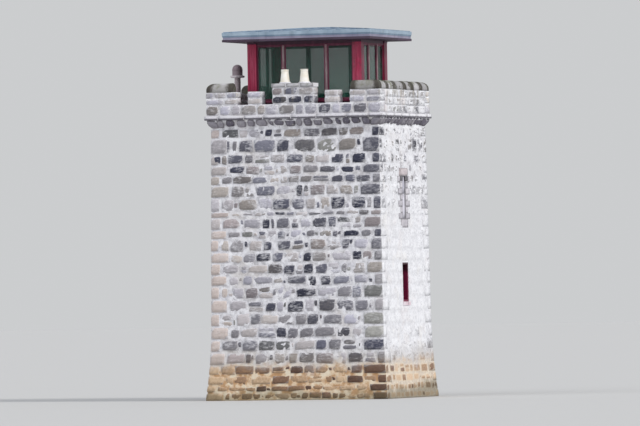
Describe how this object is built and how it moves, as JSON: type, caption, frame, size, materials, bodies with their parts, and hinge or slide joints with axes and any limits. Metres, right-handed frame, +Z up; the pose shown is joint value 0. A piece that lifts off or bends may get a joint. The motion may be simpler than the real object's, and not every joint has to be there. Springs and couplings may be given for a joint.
{
  "type": "battlemented harbour watch tower with rooftop lookout",
  "caption": "Square battered rubble watch tower with a battlemented head, chimney stack and a red glazed lookout cabin under a flat hipped roof.",
  "frame": {"origin": "middle of the plan, on the ground plane at the foot of the walls", "axes": "+Z up; -Y out of the broad front with the chimney stack; +X out of the narrow whitewashed side with the slit window"},
  "size_m": [6.2016, 4.9716, 12.08],
  "materials": {
    "front_rubble": "coursed grey rubble in wide pale mortar",
    "side_rubble": "coursed grey rubble in wide pale mortar",
    "whitewashed_stone": "rubble under worn whitewash",
    "hearting": "rubble hearting",
    "floor_stone": "flagged",
    "floor_boards": "sawn boards",
    "deck_asphalt": "mineral felt and grit",
    "red_timber": "weathered red gloss paint",
    "door_timber": "red painted planks",
    "window_glass": "dark window glass",
    "sill_stone": "painted stone",
    "dressed_stone": "dressed grey stone",
    "loop_filling": "whitewashed masonry",
    "corbel_stone": "dark weathered stone",
    "string_stone": "pale dressed stone",
    "parapet_stone": "grey rubble in pale mortar",
    "coping_stone": "mossy half-round coping",
    "cap_stone": "weathered stone",
    "pot_clay": "buff clay",
    "vent_metal": "weathered grey paint",
    "cabin_boarding": "dark red painted boards",
    "dark_timber": "dark red paint",
    "lookout_glass": "greenish glass",
    "soffit_boards": "painted boards",
    "rough_timber": "sawn",
    "roof_metal": "blue-grey sheet metal"
  },
  "bodies": {
    "root": {"front_wall": "front_rubble", "back_wall": "side_rubble", "left_wall": "side_rubble", "right_wall": "whitewashed_stone", "base_fill": "hearting", "entrance_floor": "floor_stone", "upper_floor": "floor_boards", "roof_deck": "deck_asphalt", "door_frame": "red_timber", "door_leaf": "door_timber", "slit_frames": "red_timber", "slit_panes": "window_glass", "slit_sills": "sill_stone", "loop_dressings": "dressed_stone", "loop_fillings": "loop_filling", "corbel_front_back": "corbel_stone", "corbel_sides": "corbel_stone", "string_front_back": "string_stone", "string_sides": "string_stone", "parapet_front": "parapet_stone", "parapet_back": "parapet_stone", "parapet_left": "parapet_stone", "parapet_right": "parapet_stone", "merlons_front": "parapet_stone", "merlons_back": "parapet_stone", "merlons_left": "parapet_stone", "coping_right": "coping_stone", "copings_left": "coping_stone", "chimney_stack": "parapet_stone", "chimney_cap": "cap_stone", "chimney_pots": "pot_clay", "roof_vent": "vent_metal", "riser_front_back": "cabin_boarding", "riser_sides": "cabin_boarding", "corner_piers": "red_timber", "mullions": "red_timber", "beam_front_back": "dark_timber", "beam_sides": "dark_timber", "glass_front": "lookout_glass", "glass_back": "lookout_glass", "glass_sides": "lookout_glass", "roof_soffit": "soffit_boards", "roof_joists": "rough_timber", "roof_fascia": "roof_metal", "roof_cover": "roof_metal"}
  },
  "joints": []
}
